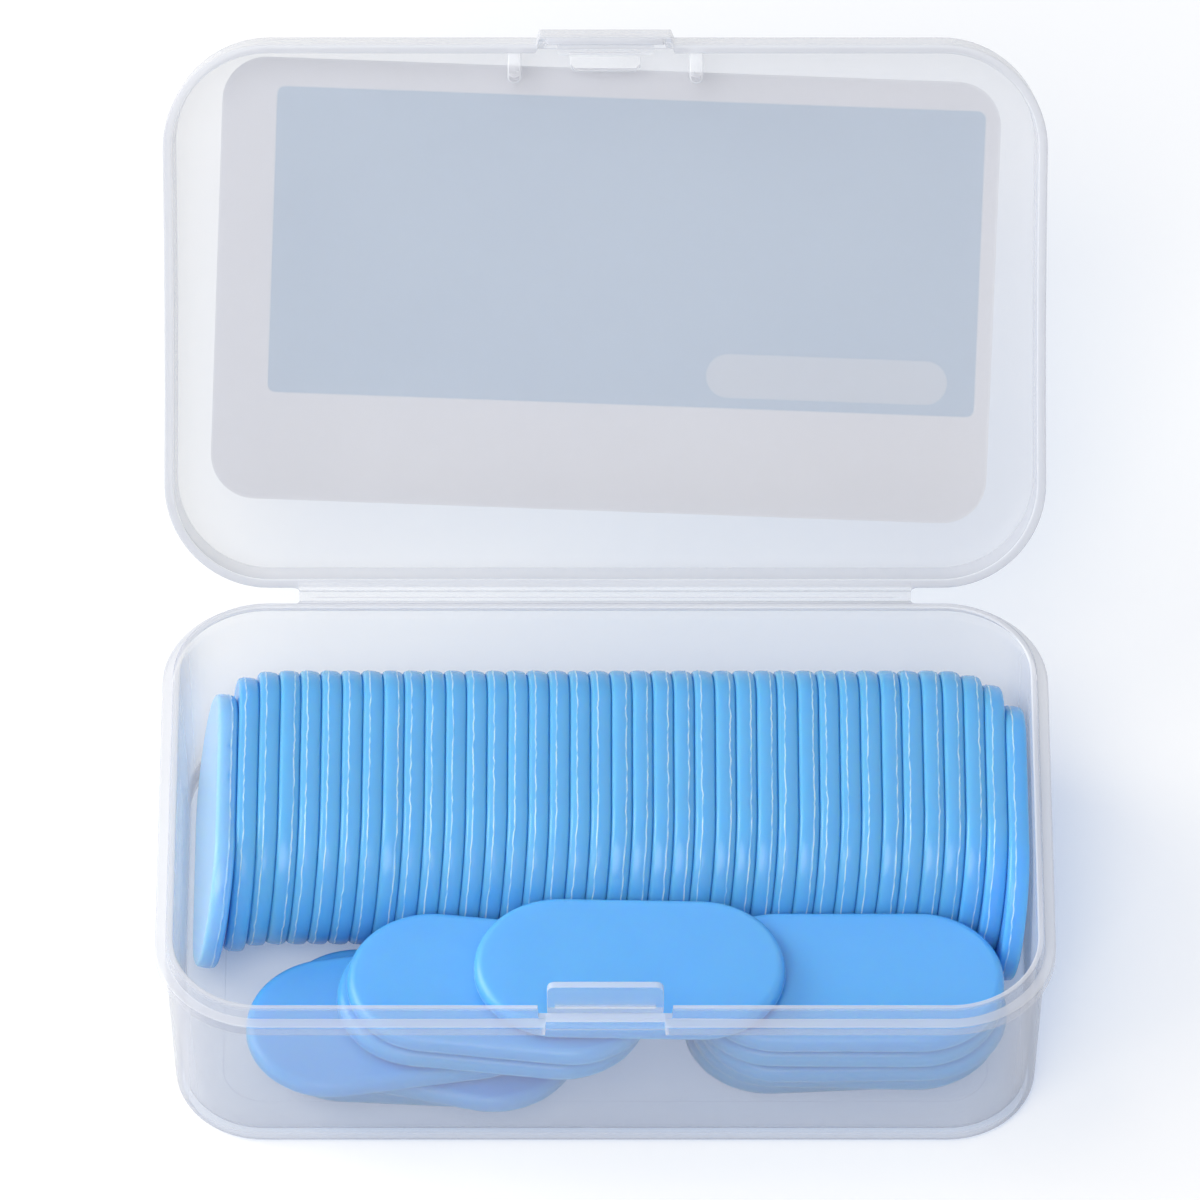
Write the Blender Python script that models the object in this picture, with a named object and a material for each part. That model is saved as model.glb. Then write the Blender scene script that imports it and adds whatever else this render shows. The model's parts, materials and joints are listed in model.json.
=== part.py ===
"""A hinged polypropylene box of wax base plates, lid open, as separate solids.

Units are metres. +X runs along the box, +Y to the back, where the lid is hinged, and +Z up.
The origin is the middle of the tray's flat underside.
"""
import math

import bmesh
import bpy
from mathutils import Matrix, Vector

# Clearance between pieces that touch on the real box, and the small step that keeps joined faces apart
GAP = 0.0003
STEP = 0.00005

# Outline that the tray's flange and the lid's rim share; its depth follows from the plates
FLANGE_LENGTH = 0.1282
CORNER_RADIUS = 0.0152
CORNER_STEPS = 6

# Tray
LEDGE_HEIGHT = 0.0292
LEDGE_WIDTH = 0.0016
LIP_HEIGHT = 0.0020
LIP_THICKNESS = 0.0010
SKIRT_HEIGHT = 0.0019
FLANGE_OVERHANG = 0.0014
WALL_DRAFT = 0.00095
WALL_THICKNESS = 0.0011
FLOOR_THICKNESS = 0.0012
FOOT_RADIUS = 0.0014
FLOOR_FILLET = 0.0015

# Hinge between tray and lid
HINGE_LENGTH = 0.0890
HINGE_OFFSET = 0.0012
HINGE_FILM_RADIUS = 0.0003
HINGE_LEAF_THICKNESS = 0.00075
LID_OPEN_ANGLE = math.radians(130.5)

# Lid
LID_DEPTH = 0.0123
LID_WALL = 0.0012
LID_RIM_WIDTH = 0.00135
LID_EDGE_RADIUS = 0.0012
LID_FILLET = 0.0018
LID_DRAFT = 0.0002

# Clasp: the tongue on the tray and what it snaps into on the lid
TONGUE_WIDTH = 0.0165
TONGUE_HEIGHT = 0.0061
TONGUE_THICKNESS = 0.0012
TONGUE_SETBACK = 0.00228
TONGUE_CORNER = 0.0011
TONGUE_SLOT = 0.0012
WEDGE_WIDTH = 0.0143
WEDGE_DEPTH = 0.0009
WEDGE_FOOT = 0.0023
WEDGE_FACE = 0.0020
WEDGE_RAMP = 0.00175
FLANGE_CUT_BACK = 0.00095
FLANGE_CUT_WIDTH = 0.0168
POCKET_WIDTH = 0.0196
POCKET_BULGE = 0.00125
POCKET_WALL = 0.0012
PULL_TAB_DROP = 0.00185
CATCH_WIDTH = 0.0140
CATCH_BITE = 0.00035
CATCH_HEIGHT = 0.0014
STOP_RIB_WIDTH = 0.0103
STOP_RIB_THICKNESS = 0.0024
STOP_RIB_CLEARANCE = 0.0006
FIN_SPACING = 0.0264
FIN_WIDTH = 0.0020
FIN_REACH = 0.0047
FIN_CLEARANCE = 0.0008

# Label on the outside of the lid
LABEL_LENGTH = 0.1135
LABEL_DEPTH = 0.0650
LABEL_RADIUS = 0.0065
LABEL_THICKNESS = 0.0002
LABEL_SHIFT = 0.0023
LABEL_TURN = math.radians(-2.1)

# Wax plates
PLATE_LENGTH = 0.0445
PLATE_WIDTH = 0.0244
PLATE_THICKNESS = 0.0027
PLATE_EDGE = 0.0010
PLATE_STEPS = 7

# The row of plates that stand on edge, as many as fit between the side walls
ROW_GAP = 0.00028
ROW_LEAN = math.radians(6.5)
FIRST_LEAN = math.radians(9.3)
ROW_START = 0.0009

# The plates that lie flat in front of the row: turn as a share of what the room allows, place as a share of
# the spare length from the side wall, and how far the back edge reaches under the row's round front ends
FRONT_BAY_SPARE = 0.0037
STACK_GAP = 0.0006
LEFT_STACK = (
    (-0.25, 0.35, 0.0014),
    (-1.00, 0.39, 0.0014),
    (1.00, 0.28, 0.0001),
    (-0.80, 0.685, -0.0001),
    (-0.80, 0.73, -0.0001),
)
RIGHT_STACK = (
    (0.15, 0.15, 0.0040),
    (-0.10, 0.125, 0.0014),
    (0.10, 0.095, -0.0001),
    (-0.05, 0.12, -0.0001),
    (0.00, 0.11, -0.0001),
)
TOP_PLATE = (-0.15, 0.545, -0.0001)

# Places worked out from the sizes
BOTTOM_INSET = FLANGE_OVERHANG + WALL_DRAFT
INNER_BOTTOM = BOTTOM_INSET + WALL_THICKNESS
FLANGE_DEPTH = PLATE_LENGTH + PLATE_WIDTH + FRONT_BAY_SPARE + 2 * INNER_BOTTOM
FRONT = -FLANGE_DEPTH / 2
BACK = FLANGE_DEPTH / 2
HINGE_Y = BACK + HINGE_OFFSET
HINGE_Z = LEDGE_HEIGHT + GAP / 2
LID_RIM_Z = GAP / 2
LID_FRONT_Y = -HINGE_OFFSET - FLANGE_DEPTH
LIP_INSIDE = LEDGE_WIDTH + LIP_THICKNESS
LIP_TOP = LEDGE_HEIGHT + LIP_HEIGHT
SKIRT_Z = LEDGE_HEIGHT - SKIRT_HEIGHT

parts = None
cutters = None


def clear_scene():
    """Remove every object and make the two collections."""
    global parts, cutters
    for item in list(bpy.data.objects):
        bpy.data.objects.remove(item)
    parts = bpy.data.collections.new("wax_plate_box")
    cutters = bpy.data.collections.new("cutters")
    for collection in (parts, cutters):
        bpy.context.scene.collection.children.link(collection)


def principled(name, colour, roughness, alpha=1.0):
    """A plain Principled material for one kind of surface."""
    made = bpy.data.materials.new(name)
    made.use_nodes = True
    shader = made.node_tree.nodes["Principled BSDF"]
    shader.inputs["Base Color"].default_value = (*colour, 1.0)
    shader.inputs["Roughness"].default_value = roughness
    shader.inputs["Metallic"].default_value = 0.0
    shader.inputs["Alpha"].default_value = alpha
    return made


def add_object(name, shape, collection, material=None):
    """Turn a bmesh, or a finished mesh, into an object of its own."""
    mesh = shape
    if isinstance(shape, bmesh.types.BMesh):
        mesh = bpy.data.meshes.new(name)
        shape.to_mesh(mesh)
        shape.free()
        mesh.shade_smooth()
        mesh.set_sharp_from_angle(angle=math.radians(35))
        if material:
            mesh.materials.append(material)
    made = bpy.data.objects.new(name, mesh)
    collection.objects.link(made)
    return made


def add_tool(name, shape, target, operation):
    """Use a shape as the tool of a Boolean on the target, in the target's own place."""
    tool = add_object(name, shape, cutters)
    tool.hide_render = True
    tool.display_type = "WIRE"
    tool.matrix_world = target.matrix_world
    boolean = target.modifiers.new(name, "BOOLEAN")
    boolean.operation = operation
    boolean.object = tool
    return tool


def block(x_range, y_range, z_range):
    """A box between two values on each axis."""
    shape = bmesh.new()
    sides = [high - low for low, high in (x_range, y_range, z_range)]
    middle = [(high + low) / 2 for low, high in (x_range, y_range, z_range)]
    place = Matrix.Translation(middle) @ Matrix.Diagonal((*sides, 1.0))
    bmesh.ops.create_cube(shape, size=1.0, matrix=place)
    return shape


def rounded_outline(half_x, half_y, radius, steps):
    """Points of a rectangle with round corners, anticlockwise."""
    points = []
    for quarter, (side_x, side_y) in enumerate(((1, 1), (-1, 1), (-1, -1), (1, -1))):
        for step in range(steps + 1):
            angle = math.pi / 2 * (quarter + step / steps)
            x = side_x * (half_x - radius) + radius * math.cos(angle)
            y = side_y * (half_y - radius) + radius * math.sin(angle)
            points.append(Vector((x, y)))
    return [p for p, after in zip(points, points[1:] + points[:1]) if (p - after).length > 1e-7]


def loft(sections):
    """A closed solid through outlines, each given as (points, z), with flat ends."""
    shape = bmesh.new()
    (points, z), *rest = sections
    ring = [shape.verts.new((p.x, p.y, z)) for p in points]
    loop = [shape.edges.new(pair) for pair in zip(ring, ring[1:] + ring[:1])]
    bmesh.ops.contextual_create(shape, geom=loop)
    for points, z in rest:
        grown = bmesh.ops.extrude_edge_only(shape, edges=loop)["geom"]
        copies = {v.co[:]: v for v in grown if isinstance(v, bmesh.types.BMVert)}
        ring = [copies[v.co[:]] for v in ring]
        for corner, p in zip(ring, points):
            corner.co = (p.x, p.y, z)
        loop = [shape.edges.get(pair) for pair in zip(ring, ring[1:] + ring[:1])]
    bmesh.ops.contextual_create(shape, geom=loop)
    bmesh.ops.recalc_face_normals(shape, faces=shape.faces[:])
    return shape


def flange_outline(inset):
    """The flange's outline, drawn in all round."""
    return rounded_outline(
        FLANGE_LENGTH / 2 - inset, FLANGE_DEPTH / 2 - inset, CORNER_RADIUS - inset, CORNER_STEPS
    )


def quarter_round(inset, z, radius, start, steps=3):
    """Profile points (inset, z) of a quarter circle, from the start angle."""
    angles = [start + math.pi / 2 * step / steps for step in range(steps + 1)]
    return [(inset + radius * math.cos(a), z + radius * math.sin(a)) for a in angles]


def make_tray(material):
    """The lower half: floor, drafted walls, flange with ledge and lip, hinge leaf and clasp cuts."""
    foot = quarter_round(BOTTOM_INSET + FOOT_RADIUS, FOOT_RADIUS, FOOT_RADIUS, -math.pi / 2)
    foot = [(2 * (BOTTOM_INSET + FOOT_RADIUS) - inset, z) for inset, z in foot]
    fillet_middle = INNER_BOTTOM + FLOOR_FILLET
    fillet = quarter_round(fillet_middle, FLOOR_THICKNESS + FLOOR_FILLET, FLOOR_FILLET, math.pi)
    profile = foot + [
        (FLANGE_OVERHANG, SKIRT_Z),
        (0.0, SKIRT_Z),
        (0.0, LEDGE_HEIGHT),
        (LEDGE_WIDTH, LEDGE_HEIGHT),
        (LEDGE_WIDTH, LIP_TOP),
        (LIP_INSIDE, LIP_TOP),
    ] + fillet
    tray = add_object("tray", loft([(flange_outline(i), z) for i, z in profile]), parts, material)

    leaf_end = HINGE_Y - HINGE_FILM_RADIUS - GAP
    leaf_top = LEDGE_HEIGHT - STEP
    leaf = block(
        (-HINGE_LENGTH / 2, HINGE_LENGTH / 2),
        (BACK - LEDGE_WIDTH / 2, leaf_end),
        (leaf_top - HINGE_LEAF_THICKNESS, leaf_top),
    )
    add_tool("tray_hinge_leaf", leaf, tray, "UNION")

    slot = TONGUE_WIDTH / 2 + TONGUE_SLOT
    lip_gap = block(
        (-slot, slot),
        (FRONT + LEDGE_WIDTH / 2, FRONT + 2 * LIP_INSIDE),
        (LEDGE_HEIGHT, LEDGE_HEIGHT + 2 * LIP_HEIGHT),
    )
    add_tool("lip_gap", lip_gap, tray, "DIFFERENCE")

    cut = block(
        (-FLANGE_CUT_WIDTH / 2, FLANGE_CUT_WIDTH / 2),
        (FRONT - FLANGE_OVERHANG, FRONT + FLANGE_CUT_BACK),
        (SKIRT_Z - SKIRT_HEIGHT, LEDGE_HEIGHT + LIP_HEIGHT),
    )
    add_tool("flange_cut", cut, tray, "DIFFERENCE")
    return tray


def make_hinge_film(material):
    """The thin web that bends, drawn as a fine round bead on the hinge line."""
    shape = bmesh.new()
    along_x = Matrix.Rotation(math.pi / 2, 4, "Y")
    bmesh.ops.create_cone(
        shape,
        cap_ends=True,
        segments=12,
        radius1=HINGE_FILM_RADIUS,
        radius2=HINGE_FILM_RADIUS,
        depth=HINGE_LENGTH,
        matrix=along_x,
    )
    film = add_object("living_hinge", shape, parts, material)
    film.location = (0.0, HINGE_Y, HINGE_Z)
    return film


def make_tongue(material):
    """The springy tongue, its origin on the line at its root where it bends."""
    height = TONGUE_HEIGHT - GAP
    shape = block(
        (-TONGUE_WIDTH / 2, TONGUE_WIDTH / 2),
        (-TONGUE_THICKNESS / 2, TONGUE_THICKNESS / 2),
        (0.0, height),
    )
    top_corners = [
        edge
        for edge in shape.edges
        if all(v.co.z > height / 2 for v in edge.verts) and edge.verts[0].co.x == edge.verts[1].co.x
    ]
    bmesh.ops.bevel(
        shape,
        geom=top_corners,
        offset=TONGUE_CORNER,
        offset_type="OFFSET",
        segments=4,
        profile=0.5,
        affect="EDGES",
        material=-1,
    )
    tongue = add_object("clasp_tongue", shape, parts, material)
    tongue.location = (0.0, FRONT + TONGUE_SETBACK + TONGUE_THICKNESS / 2, LEDGE_HEIGHT + GAP)
    bpy.context.view_layer.update()

    foot = WEDGE_FOOT - GAP
    wedge = block(
        (-WEDGE_WIDTH / 2, WEDGE_WIDTH / 2),
        (-TONGUE_THICKNESS / 2 - WEDGE_DEPTH, 0.0),
        (foot, foot + WEDGE_FACE + WEDGE_RAMP),
    )
    for corner in wedge.verts:
        if corner.co.y < -TONGUE_THICKNESS / 2 and corner.co.z > foot + WEDGE_FACE / 2:
            corner.co.z -= WEDGE_RAMP
    add_tool("tongue_wedge", wedge, tongue, "UNION")
    return tongue


def make_lid(material):
    """The upper half, modelled closed about the hinge line and then swung open."""
    panel = LID_RIM_Z + LID_DEPTH
    roof = panel - LID_WALL
    edge_middle = LID_DRAFT + LID_EDGE_RADIUS
    edge = quarter_round(edge_middle, panel - LID_EDGE_RADIUS, LID_EDGE_RADIUS, math.pi / 2)
    fillet_middle = LID_DRAFT + LID_RIM_WIDTH + LID_FILLET
    fillet = quarter_round(fillet_middle, roof - LID_FILLET, LID_FILLET, math.pi / 2)
    profile = edge + [(0.0, LID_RIM_Z), (LID_RIM_WIDTH, LID_RIM_Z)] + fillet[::-1]
    shape = loft([(flange_outline(i), z) for i, z in profile])
    middle = Vector((0.0, LID_FRONT_Y + FLANGE_DEPTH / 2, 0.0))
    bmesh.ops.translate(shape, verts=shape.verts, vec=middle)
    lid = add_object("lid", shape, parts, material)
    lid.location = (0.0, HINGE_Y, HINGE_Z)
    lid.rotation_euler.x = -LID_OPEN_ANGLE
    bpy.context.view_layer.update()

    inside_wall = LID_FRONT_Y + LID_RIM_WIDTH / 2
    bulge = LID_FRONT_Y - POCKET_BULGE
    pocket = block(
        (-POCKET_WIDTH / 2, POCKET_WIDTH / 2),
        (bulge, inside_wall),
        (LID_RIM_Z + STEP, panel - 1.5 * LID_EDGE_RADIUS),
    )
    add_tool("clasp_pocket", pocket, lid, "UNION")

    pocket_face = bulge + POCKET_WALL
    inner_half = POCKET_WIDTH / 2 - POCKET_WALL
    hollow = block(
        (-inner_half, inner_half),
        (pocket_face, LID_FRONT_Y + 2 * LID_RIM_WIDTH),
        (LID_RIM_Z - PULL_TAB_DROP, roof - LID_WALL),
    )
    add_tool("pocket_hollow", hollow, lid, "DIFFERENCE")

    tab_half = FLANGE_CUT_WIDTH / 2 - GAP
    tab = block(
        (-tab_half, tab_half),
        (bulge + STEP, pocket_face - STEP),
        (LID_RIM_Z - PULL_TAB_DROP, LID_RIM_Z + LID_WALL),
    )
    add_tool("pull_tab", tab, lid, "UNION")

    catch_tip = LID_FRONT_Y + TONGUE_SETBACK - WEDGE_DEPTH + CATCH_BITE
    catch = block(
        (-CATCH_WIDTH / 2, CATCH_WIDTH / 2),
        (pocket_face - POCKET_WALL / 2, catch_tip),
        (LID_RIM_Z + GAP / 2, LID_RIM_Z + GAP / 2 + CATCH_HEIGHT),
    )
    for corner in catch.verts:
        if corner.co.y > pocket_face and corner.co.z < LID_RIM_Z + CATCH_HEIGHT / 2:
            corner.co.z += CATCH_HEIGHT / 2
    add_tool("catch_bead", catch, lid, "UNION")

    rib_front = LID_FRONT_Y + TONGUE_SETBACK
    rib_low = TONGUE_HEIGHT - GAP / 2 + STOP_RIB_CLEARANCE
    rib = block(
        (-STOP_RIB_WIDTH / 2, STOP_RIB_WIDTH / 2),
        (rib_front, rib_front + STOP_RIB_THICKNESS),
        (rib_low, roof + LID_WALL / 2),
    )
    add_tool("stop_rib", rib, lid, "UNION")

    fin_low = LIP_HEIGHT - GAP / 2 + FIN_CLEARANCE
    for side, label in ((-1, "left"), (1, "right")):
        middle_x = side * FIN_SPACING / 2
        fin = block(
            (middle_x - FIN_WIDTH / 2, middle_x + FIN_WIDTH / 2),
            (inside_wall, LID_FRONT_Y + LID_RIM_WIDTH + FIN_REACH),
            (fin_low, roof + LID_WALL / 2),
        )
        ends = [
            e
            for e in fin.edges
            if all(v.co.y > inside_wall for v in e.verts) and e.verts[0].co.x == e.verts[1].co.x
        ]
        ends = [e for e in ends if e.verts[0].co.z != e.verts[1].co.z]
        bmesh.ops.bevel(
            fin,
            geom=ends,
            offset=0.45 * FIN_WIDTH,
            offset_type="OFFSET",
            segments=3,
            profile=0.5,
            affect="EDGES",
            material=-1,
        )
        add_tool(f"guide_fin_{label}", fin, lid, "UNION")

    leaf_low = LID_RIM_Z + STEP
    leaf = block(
        (-HINGE_LENGTH / 2, HINGE_LENGTH / 2),
        (-HINGE_OFFSET - LID_RIM_WIDTH / 2, -HINGE_FILM_RADIUS - GAP),
        (leaf_low, leaf_low + HINGE_LEAF_THICKNESS),
    )
    add_tool("lid_hinge_leaf", leaf, lid, "UNION")
    return lid


def make_label(material, lid):
    """The sticker on the outside of the lid's panel, carried by the lid."""
    bottom = LID_RIM_Z + LID_DEPTH + GAP
    outline = rounded_outline(LABEL_LENGTH / 2, LABEL_DEPTH / 2, LABEL_RADIUS, CORNER_STEPS)
    shape = loft([(outline, bottom), (outline, bottom + LABEL_THICKNESS)])
    middle = Vector((0.0, LID_FRONT_Y + FLANGE_DEPTH / 2 - LABEL_SHIFT, 0.0))
    bmesh.ops.rotate(shape, verts=shape.verts, cent=(0, 0, 0), matrix=Matrix.Rotation(-LABEL_TURN, 3, "Z"))
    bmesh.ops.translate(shape, verts=shape.verts, vec=middle)
    label = add_object("lid_label", shape, parts, material)
    label.parent = lid
    return label


def plate_mesh(material):
    """One wax plate lying flat: a stadium with rounded edges, its middle at the origin."""
    half = PLATE_THICKNESS / 2
    lower = quarter_round(PLATE_EDGE, PLATE_EDGE - half, PLATE_EDGE, -math.pi / 2, steps=2)
    lower = [(2 * PLATE_EDGE - inset, z) for inset, z in lower]
    upper = [(inset, -z) for inset, z in reversed(lower)]
    sections = []
    for inset, z in lower + upper:
        round_end = PLATE_WIDTH / 2 - inset
        outline = rounded_outline(PLATE_LENGTH / 2 - inset, round_end, round_end, PLATE_STEPS // 2 + 1)
        sections.append((outline, z))
    plate = add_object("wax_plate_pattern", loft(sections), parts, material)
    mesh = plate.data
    bpy.data.objects.remove(plate)
    return mesh


def inner_inset(z):
    """How far the tray's inner wall stands in from the flange's edge at one height."""
    return LIP_INSIDE + (INNER_BOTTOM - LIP_INSIDE) * (LIP_TOP - z) / (LIP_TOP - FLOOR_THICKNESS - FLOOR_FILLET)


def back_room(x, z):
    """How far back a plate may reach at one place, round corner included."""
    past = max(0.0, abs(x) - (FLANGE_LENGTH / 2 - CORNER_RADIUS))
    return BACK - CORNER_RADIUS + math.sqrt((CORNER_RADIUS - inner_inset(z) - GAP) ** 2 - past**2)


def standing_height(lean):
    """Height of the middle of a plate that stands on the floor, leaning."""
    low = (PLATE_WIDTH / 2 - PLATE_EDGE) * math.cos(lean) + (PLATE_THICKNESS / 2 - PLATE_EDGE) * math.sin(lean)
    return FLOOR_THICKNESS + GAP + PLATE_EDGE + low


def standing_back(x, lean):
    """Where the back end of a standing plate stops, over all its height."""
    half_width = PLATE_WIDTH / 2
    rooms = []
    for step in range(-10, 11):
        height = half_width * step / 10
        faces = [x + height * math.sin(lean) + side * PLATE_THICKNESS / 2 for side in (-1, 1)]
        round_end = half_width - math.sqrt(half_width**2 - height**2)
        rooms.append(back_room(max(faces, key=abs), standing_height(lean) + height * math.cos(lean)) + round_end)
    return min(rooms)


def stand_plates(mesh):
    """The row of plates on edge, long side along Y, leaning to the right and pushed back to the wall."""
    half_width = PLATE_WIDTH / 2
    half_thick = PLATE_THICKNESS / 2
    pitch = (PLATE_THICKNESS + ROW_GAP) / math.cos(ROW_LEAN)
    across = Matrix.Rotation(math.pi / 2, 4, "Z")
    on_edge = Matrix.Rotation(math.pi / 2, 4, "Y")

    first_foot = half_thick * math.cos(FIRST_LEAN) + half_width * math.sin(FIRST_LEAN)
    first_x = -(FLANGE_LENGTH / 2 - INNER_BOTTOM) + ROW_START + first_foot
    meet = half_width * (math.sin(FIRST_LEAN) - math.sin(ROW_LEAN))
    top = standing_height(ROW_LEAN) + half_width * math.cos(ROW_LEAN)
    last_x = FLANGE_LENGTH / 2 - inner_inset(top) - GAP - half_thick - half_width * math.sin(ROW_LEAN)
    count = 1 + int((last_x - first_x - meet) / pitch)
    for number in range(count):
        lean = ROW_LEAN if number else FIRST_LEAN
        x = first_x + number * pitch + (meet if number else 0.0)
        y = standing_back(x, lean) - PLATE_LENGTH / 2
        plate = add_object(f"wax_plate_{number + 1:02d}", mesh, parts)
        turn = Matrix.Rotation(lean, 4, "Y") @ on_edge @ across
        plate.matrix_world = Matrix.Translation((x, y, standing_height(lean))) @ turn


def lay_plate(name, mesh, layer, back, room, turn_share, x, tuck):
    """One plate lying flat, a number of layers above the floor, its back edge against the row."""
    z = FLOOR_THICKNESS + GAP + PLATE_THICKNESS / 2 + layer * (PLATE_THICKNESS + STACK_GAP)
    straight = PLATE_LENGTH - PLATE_WIDTH
    turn = turn_share * math.asin(min(1.0, (room + tuck - PLATE_WIDTH) / straight))
    reach = PLATE_WIDTH / 2 + straight / 2 * math.sin(abs(turn))
    plate = add_object(name, mesh, parts)
    plate.location = (x, back + tuck - reach, z)
    plate.rotation_euler.z = turn


def lay_stacks(mesh):
    """The two stacks in front of the row, and the plate across them."""
    back = standing_back(0.0, ROW_LEAN) - PLATE_LENGTH - GAP
    room = back - (FRONT + INNER_BOTTOM + GAP)
    half_inside = FLANGE_LENGTH / 2 - INNER_BOTTOM
    end_x = half_inside - PLATE_LENGTH / 2
    spare = 2 * (half_inside - PLATE_LENGTH)
    for side, name, stack in ((-1, "left", LEFT_STACK), (1, "right", RIGHT_STACK)):
        for layer, (turn, place, tuck) in enumerate(stack):
            x = side * (end_x - place * spare)
            lay_plate(f"loose_plate_{name}_{layer + 1}", mesh, layer, back, room, turn, x, tuck)
    turn, place, tuck = TOP_PLATE
    x = end_x * (2 * place - 1)
    lay_plate("loose_plate_top", mesh, len(LEFT_STACK), back, room, turn, x, tuck)


def main():
    """Build every piece."""
    clear_scene()
    frosted = principled("frosted_polypropylene", (0.80, 0.82, 0.88), 0.35, alpha=0.35)
    wax = principled("blue_plate_wax", (0.15, 0.46, 0.91), 0.45)
    paper = principled("label_paper", (0.72, 0.73, 0.76), 0.60)
    make_tray(frosted)
    make_hinge_film(frosted)
    make_tongue(frosted)
    lid = make_lid(frosted)
    make_label(paper, lid)
    pattern = plate_mesh(wax)
    stand_plates(pattern)
    lay_stacks(pattern)


main()
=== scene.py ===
# %% [markdown]
# # A frosted box of blue wax plates
#
# Dental technicians shape trays and bite rims from plates of base wax, and the plates come in a hinged box
# of frosted polypropylene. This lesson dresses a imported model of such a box: every piece keeps the place
# that the frame gives it, and gets the rounded edges, mould marks and finish of the real thing.

# %% Load the frame
import json
import math

import bmesh
import bpy
import numpy as np
from mathutils import Matrix, Vector, noise

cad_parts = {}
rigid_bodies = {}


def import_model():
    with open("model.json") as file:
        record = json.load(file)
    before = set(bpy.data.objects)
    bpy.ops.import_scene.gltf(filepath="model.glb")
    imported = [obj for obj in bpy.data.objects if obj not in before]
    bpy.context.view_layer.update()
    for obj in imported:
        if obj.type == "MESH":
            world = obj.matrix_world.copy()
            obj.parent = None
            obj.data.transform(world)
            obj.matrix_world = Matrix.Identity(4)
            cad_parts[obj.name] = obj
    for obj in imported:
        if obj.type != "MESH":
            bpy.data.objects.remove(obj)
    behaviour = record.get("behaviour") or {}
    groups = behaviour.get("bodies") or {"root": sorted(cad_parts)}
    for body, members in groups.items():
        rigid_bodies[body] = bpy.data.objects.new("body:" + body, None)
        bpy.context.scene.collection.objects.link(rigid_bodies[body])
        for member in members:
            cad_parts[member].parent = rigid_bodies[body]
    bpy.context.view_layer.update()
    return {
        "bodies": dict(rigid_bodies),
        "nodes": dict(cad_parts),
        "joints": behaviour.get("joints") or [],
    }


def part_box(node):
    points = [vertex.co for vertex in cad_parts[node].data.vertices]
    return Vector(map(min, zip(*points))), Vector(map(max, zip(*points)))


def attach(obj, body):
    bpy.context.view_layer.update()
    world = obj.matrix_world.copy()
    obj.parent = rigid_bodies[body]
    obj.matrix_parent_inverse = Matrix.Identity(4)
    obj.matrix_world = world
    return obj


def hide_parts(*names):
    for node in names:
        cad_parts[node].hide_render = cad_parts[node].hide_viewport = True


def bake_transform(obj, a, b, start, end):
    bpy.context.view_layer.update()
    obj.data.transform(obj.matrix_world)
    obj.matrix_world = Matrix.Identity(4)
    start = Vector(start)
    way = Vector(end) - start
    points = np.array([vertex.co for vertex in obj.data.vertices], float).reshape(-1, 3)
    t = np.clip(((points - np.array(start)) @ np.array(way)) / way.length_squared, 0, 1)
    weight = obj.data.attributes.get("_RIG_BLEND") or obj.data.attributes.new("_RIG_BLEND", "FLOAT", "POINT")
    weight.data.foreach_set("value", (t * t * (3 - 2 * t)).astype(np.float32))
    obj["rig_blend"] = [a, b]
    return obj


for item in list(bpy.data.objects):
    bpy.data.objects.remove(item)
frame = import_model()
joints = {joint["name"]: joint for joint in frame["joints"]}

# %% [markdown]
# ## Camera
#
# The photograph is a product shot with a long lens, from straight in front and 49 degrees up. A long lens
# far away keeps the box's sides nearly parallel, so the distance and the lens are both large. The camera
# aims at the hinge, which is close to the middle of the picture.

# %% Camera
CAMERA_ELEVATION = math.radians(49.0)
CAMERA_DISTANCE = 1.880
CAMERA_LENS = 387.6
CAMERA_AIM = Vector((-0.00076, 0.04054, 0.0290))

camera_data = bpy.data.cameras.new("photo_camera")
camera_data.lens = CAMERA_LENS
camera_data.sensor_width = 36.0
camera_data.clip_start = 0.1
camera = bpy.data.objects.new("photo_camera", camera_data)
towards = Vector((0.0, math.cos(CAMERA_ELEVATION), -math.sin(CAMERA_ELEVATION)))
camera.location = CAMERA_AIM - CAMERA_DISTANCE * towards
camera.rotation_euler.x = math.pi / 2 - CAMERA_ELEVATION
bpy.context.scene.collection.objects.link(camera)
bpy.context.scene.camera = camera
print("camera at", [round(value, 3) for value in camera.location])

# %% [markdown]
# ## Colours and nodes
#
# Colours are written as sRGB hex, the way a picture editor shows them, and one function makes them linear.
# A second one adds a node: a value that is another node's socket is linked, and any other value is set.

# %% Colour and node helpers
MM = 0.001
TINY, WELD = 1e-6, 1e-7


def colour(code):
    """An sRGB hex colour as the linear RGBA that a socket takes."""
    channels = [int(code[i : i + 2], 16) / 255 for i in (1, 3, 5)]
    linear = [c / 12.92 if c <= 0.04045 else ((c + 0.055) / 1.055) ** 2.4 for c in channels]
    return (*linear, 1.0)


def add_node(tree, kind, inputs=None, **settings):
    """Add a node to a tree, with its settings and its inputs."""
    node = tree.nodes.new(kind)
    for name, value in settings.items():
        setattr(node, name, value)
    for name, value in (inputs or {}).items():
        if isinstance(value, bpy.types.NodeSocket):
            tree.links.new(value, node.inputs[name])
        else:
            node.inputs[name].default_value = value
    return node


def new_material(name):
    """An empty node material with its output, returned with its tree."""
    material = bpy.data.materials.new(name)
    material.use_nodes = True
    material.node_tree.nodes.clear()
    output = add_node(material.node_tree, "ShaderNodeOutputMaterial")
    return material, material.node_tree, output.inputs["Surface"]


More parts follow.
